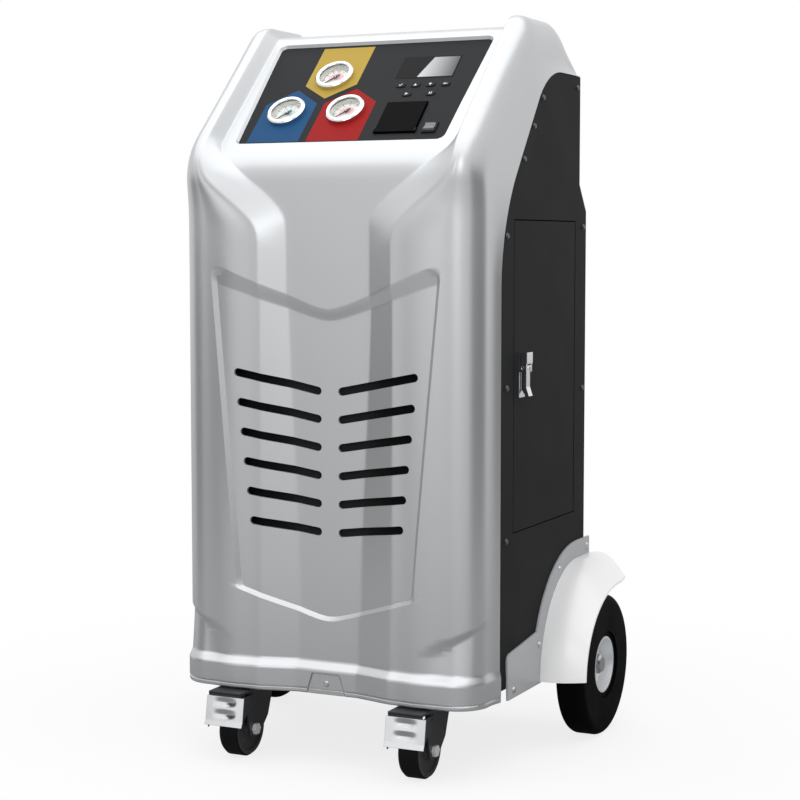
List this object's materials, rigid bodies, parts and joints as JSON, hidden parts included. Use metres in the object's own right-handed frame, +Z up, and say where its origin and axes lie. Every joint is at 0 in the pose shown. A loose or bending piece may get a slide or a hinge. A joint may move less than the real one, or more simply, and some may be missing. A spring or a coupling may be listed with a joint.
{
  "type": "refrigerant recovery machine",
  "caption": "Upright refrigerant recovery machine on rear wheels and braked casters, with gauges, keys, display and printer on a sloped panel and a side service door.",
  "frame": {"origin": "on the floor, at the middle of the bounding box seen from above", "axes": "+Z up, +X to the right of someone facing the front, front towards -Y"},
  "size_m": [0.59, 0.471, 1.0074],
  "materials": {
    "bare_sheet": "brushed",
    "black_paint": "satin",
    "black_plastic": "gloss",
    "blue_plastic": "satin",
    "board_green": "satin",
    "bright_chrome": "polished",
    "caster_rubber": "matte",
    "clear_lens": "clear",
    "compressor_paint": "gloss",
    "core_aluminium": "bare",
    "display_glass": "smoked",
    "drier_paint": "gloss",
    "fan_plastic": "satin",
    "fender_white": "gloss",
    "frame_paint": "satin",
    "grey_paint": "satin",
    "key_plastic": "satin",
    "needle_paint": "matte",
    "panel_print": "satin",
    "port_brass": "satin",
    "pump_paint": "gloss",
    "red_plastic": "satin",
    "shell_plastic": "satin",
    "tank_paint": "gloss",
    "tyre_rubber": "matte",
    "wheel_alloy": "satin",
    "white_plastic": "satin",
    "zinc_steel": "zinc plated"
  },
  "bodies": {
    "cabinet": {"base_tray": "frame_paint", "cabinet_frame": "frame_paint", "front_cover": "shell_plastic", "side_panel_left": "black_paint", "side_panel_right": "black_paint", "rear_panel": "black_paint", "service_plate": "bare_sheet", "control_panel": "panel_print", "control_board": "board_green", "display_lens": "display_glass", "gauge_cases": "white_plastic", "gauge_bezels": "bright_chrome", "gauge_lenses": "clear_lens", "rocker_frame": "key_plastic", "printer_body": "key_plastic", "door_pivots": "frame_paint", "wheel_bracket_left": "grey_paint", "wheel_bracket_right": "grey_paint", "fender_left": "fender_white", "fender_right": "fender_white", "rear_axle": "zinc_steel", "axle_caps": "zinc_steel", "caster_plates": "zinc_steel", "panel_screws": "zinc_steel", "power_inlet": "key_plastic", "service_ports": "port_brass", "refrigerant_tank": "tank_paint", "tank_scale": "bare_sheet", "compressor": "compressor_paint", "condenser": "core_aluminium", "fan_motor": "fan_plastic", "vacuum_pump": "pump_paint", "filter_drier": "drier_paint"},
    "caster_swivel_left": {"caster_fork_left": "frame_paint"},
    "caster_roll_left": {"caster_wheel_left": "caster_rubber"},
    "brake_left": {"caster_pedal_left": "bright_chrome"},
    "rear_wheel_left": {"tyre_left": "tyre_rubber", "hub_left": "wheel_alloy"},
    "caster_swivel_right": {"caster_fork_right": "frame_paint"},
    "caster_roll_right": {"caster_wheel_right": "caster_rubber"},
    "brake_right": {"caster_pedal_right": "bright_chrome"},
    "rear_wheel_right": {"tyre_right": "tyre_rubber", "hub_right": "wheel_alloy"},
    "door": {"service_door": "black_paint", "latch_body": "bright_chrome"},
    "latch": {"latch_lever": "bright_chrome"},
    "key_enter_body": {"key_enter": "key_plastic"},
    "key_up_body": {"key_up": "key_plastic"},
    "key_down_body": {"key_down": "key_plastic"},
    "key_back_body": {"key_back": "key_plastic"},
    "key_start_body": {"key_start": "key_plastic"},
    "key_pause_body": {"key_pause": "key_plastic"},
    "rocker": {"power_rocker": "white_plastic"},
    "printer_lid": {"printer_cover": "black_plastic"},
    "pointer_low": {"needle_low": "needle_paint"},
    "pointer_high": {"needle_high": "needle_paint"},
    "pointer_tank": {"needle_tank": "needle_paint"},
    "fan": {"fan_blades": "fan_plastic"},
    "valve_liquid": {"handwheel_liquid": "red_plastic"},
    "valve_vapour": {"handwheel_vapour": "blue_plastic"}
  },
  "joints": [
    {"name": "caster_left_swivel", "type": "hinge", "parent": "cabinet", "child": "caster_swivel_left", "pos_m": [-0.1345, -0.1535, 0.096], "axis": [0, 0, 1], "continuous": true},
    {"name": "caster_left_roll", "type": "hinge", "parent": "caster_swivel_left", "child": "caster_roll_left", "pos_m": [-0.1345, -0.1835, 0.038], "axis": [1, 0, 0], "continuous": true},
    {"name": "brake_left_press", "type": "hinge", "parent": "caster_swivel_left", "child": "brake_left", "pos_m": [-0.1345, -0.1975, 0.082], "axis": [1, 0, 0], "range_deg": [0, 10]},
    {"name": "rear_wheel_left_spin", "type": "hinge", "parent": "cabinet", "child": "rear_wheel_left", "pos_m": [-0.26, 0.1355, 0.1], "axis": [1, 0, 0], "continuous": true},
    {"name": "caster_right_swivel", "type": "hinge", "parent": "cabinet", "child": "caster_swivel_right", "pos_m": [0.1345, -0.1535, 0.096], "axis": [0, 0, 1], "continuous": true},
    {"name": "caster_right_roll", "type": "hinge", "parent": "caster_swivel_right", "child": "caster_roll_right", "pos_m": [0.1345, -0.1835, 0.038], "axis": [1, 0, 0], "continuous": true},
    {"name": "brake_right_press", "type": "hinge", "parent": "caster_swivel_right", "child": "brake_right", "pos_m": [0.1345, -0.1975, 0.082], "axis": [1, 0, 0], "range_deg": [0, 10]},
    {"name": "rear_wheel_right_spin", "type": "hinge", "parent": "cabinet", "child": "rear_wheel_right", "pos_m": [0.26, 0.1355, 0.1], "axis": [1, 0, 0], "continuous": true},
    {"name": "door_swing", "type": "hinge", "parent": "cabinet", "child": "door", "pos_m": [0.221, 0.139, 0.317], "axis": [0, 0, 1], "range_deg": [0, 110]},
    {"name": "latch_lift", "type": "hinge", "parent": "door", "child": "latch", "pos_m": [0.2331, -0.0635, 0.536], "axis": [0, -1, 0], "range_deg": [0, 60]},
    {"name": "key_enter_press", "type": "slide", "parent": "cabinet", "child": "key_enter_body", "axis": [0, 0.6921, -0.7218], "range_m": [0, 0.001], "stiffness_N_per_m": 300},
    {"name": "key_up_press", "type": "slide", "parent": "cabinet", "child": "key_up_body", "axis": [0, 0.6921, -0.7218], "range_m": [0, 0.001], "stiffness_N_per_m": 300},
    {"name": "key_down_press", "type": "slide", "parent": "cabinet", "child": "key_down_body", "axis": [0, 0.6921, -0.7218], "range_m": [0, 0.001], "stiffness_N_per_m": 300},
    {"name": "key_back_press", "type": "slide", "parent": "cabinet", "child": "key_back_body", "axis": [0, 0.6921, -0.7218], "range_m": [0, 0.001], "stiffness_N_per_m": 300},
    {"name": "key_start_press", "type": "slide", "parent": "cabinet", "child": "key_start_body", "axis": [0, 0.6921, -0.7218], "range_m": [0, 0.001], "stiffness_N_per_m": 300},
    {"name": "key_pause_press", "type": "slide", "parent": "cabinet", "child": "key_pause_body", "axis": [0, 0.6921, -0.7218], "range_m": [0, 0.001], "stiffness_N_per_m": 300},
    {"name": "rocker_tilt", "type": "hinge", "parent": "cabinet", "child": "rocker", "pos_m": [0.126, -0.13407, 0.84886], "axis": [1, 0, 0], "range_deg": [0, 16]},
    {"name": "printer_lid_open", "type": "hinge", "parent": "cabinet", "child": "printer_lid", "pos_m": [0.0775, -0.14026, 0.84736], "axis": [1, 0, 0], "range_deg": [0, 80]},
    {"name": "pointer_low_turn", "type": "hinge", "parent": "cabinet", "child": "pointer_low", "pos_m": [-0.101, -0.10695, 0.87764], "axis": [0, 0.6921, -0.7218], "range_deg": [0, 270]},
    {"name": "pointer_high_turn", "type": "hinge", "parent": "cabinet", "child": "pointer_high", "pos_m": [-0.011, -0.10695, 0.87764], "axis": [0, 0.6921, -0.7218], "range_deg": [0, 270]},
    {"name": "pointer_tank_turn", "type": "hinge", "parent": "cabinet", "child": "pointer_tank", "pos_m": [-0.054, -0.0539, 0.92852], "axis": [0, 0.6921, -0.7218], "range_deg": [0, 270]},
    {"name": "fan_spin", "type": "hinge", "parent": "cabinet", "child": "fan", "pos_m": [0, -0.0975, 0.435], "axis": [0, 1, 0], "continuous": true},
    {"name": "valve_liquid_turn", "type": "hinge", "parent": "cabinet", "child": "valve_liquid", "pos_m": [-0.108, 0.0705, 0.565], "axis": [0, 0, 1], "range_deg": [0, 720]},
    {"name": "valve_vapour_turn", "type": "hinge", "parent": "cabinet", "child": "valve_vapour", "pos_m": [-0.016, 0.0705, 0.565], "axis": [0, 0, 1], "range_deg": [0, 720]}
  ]
}
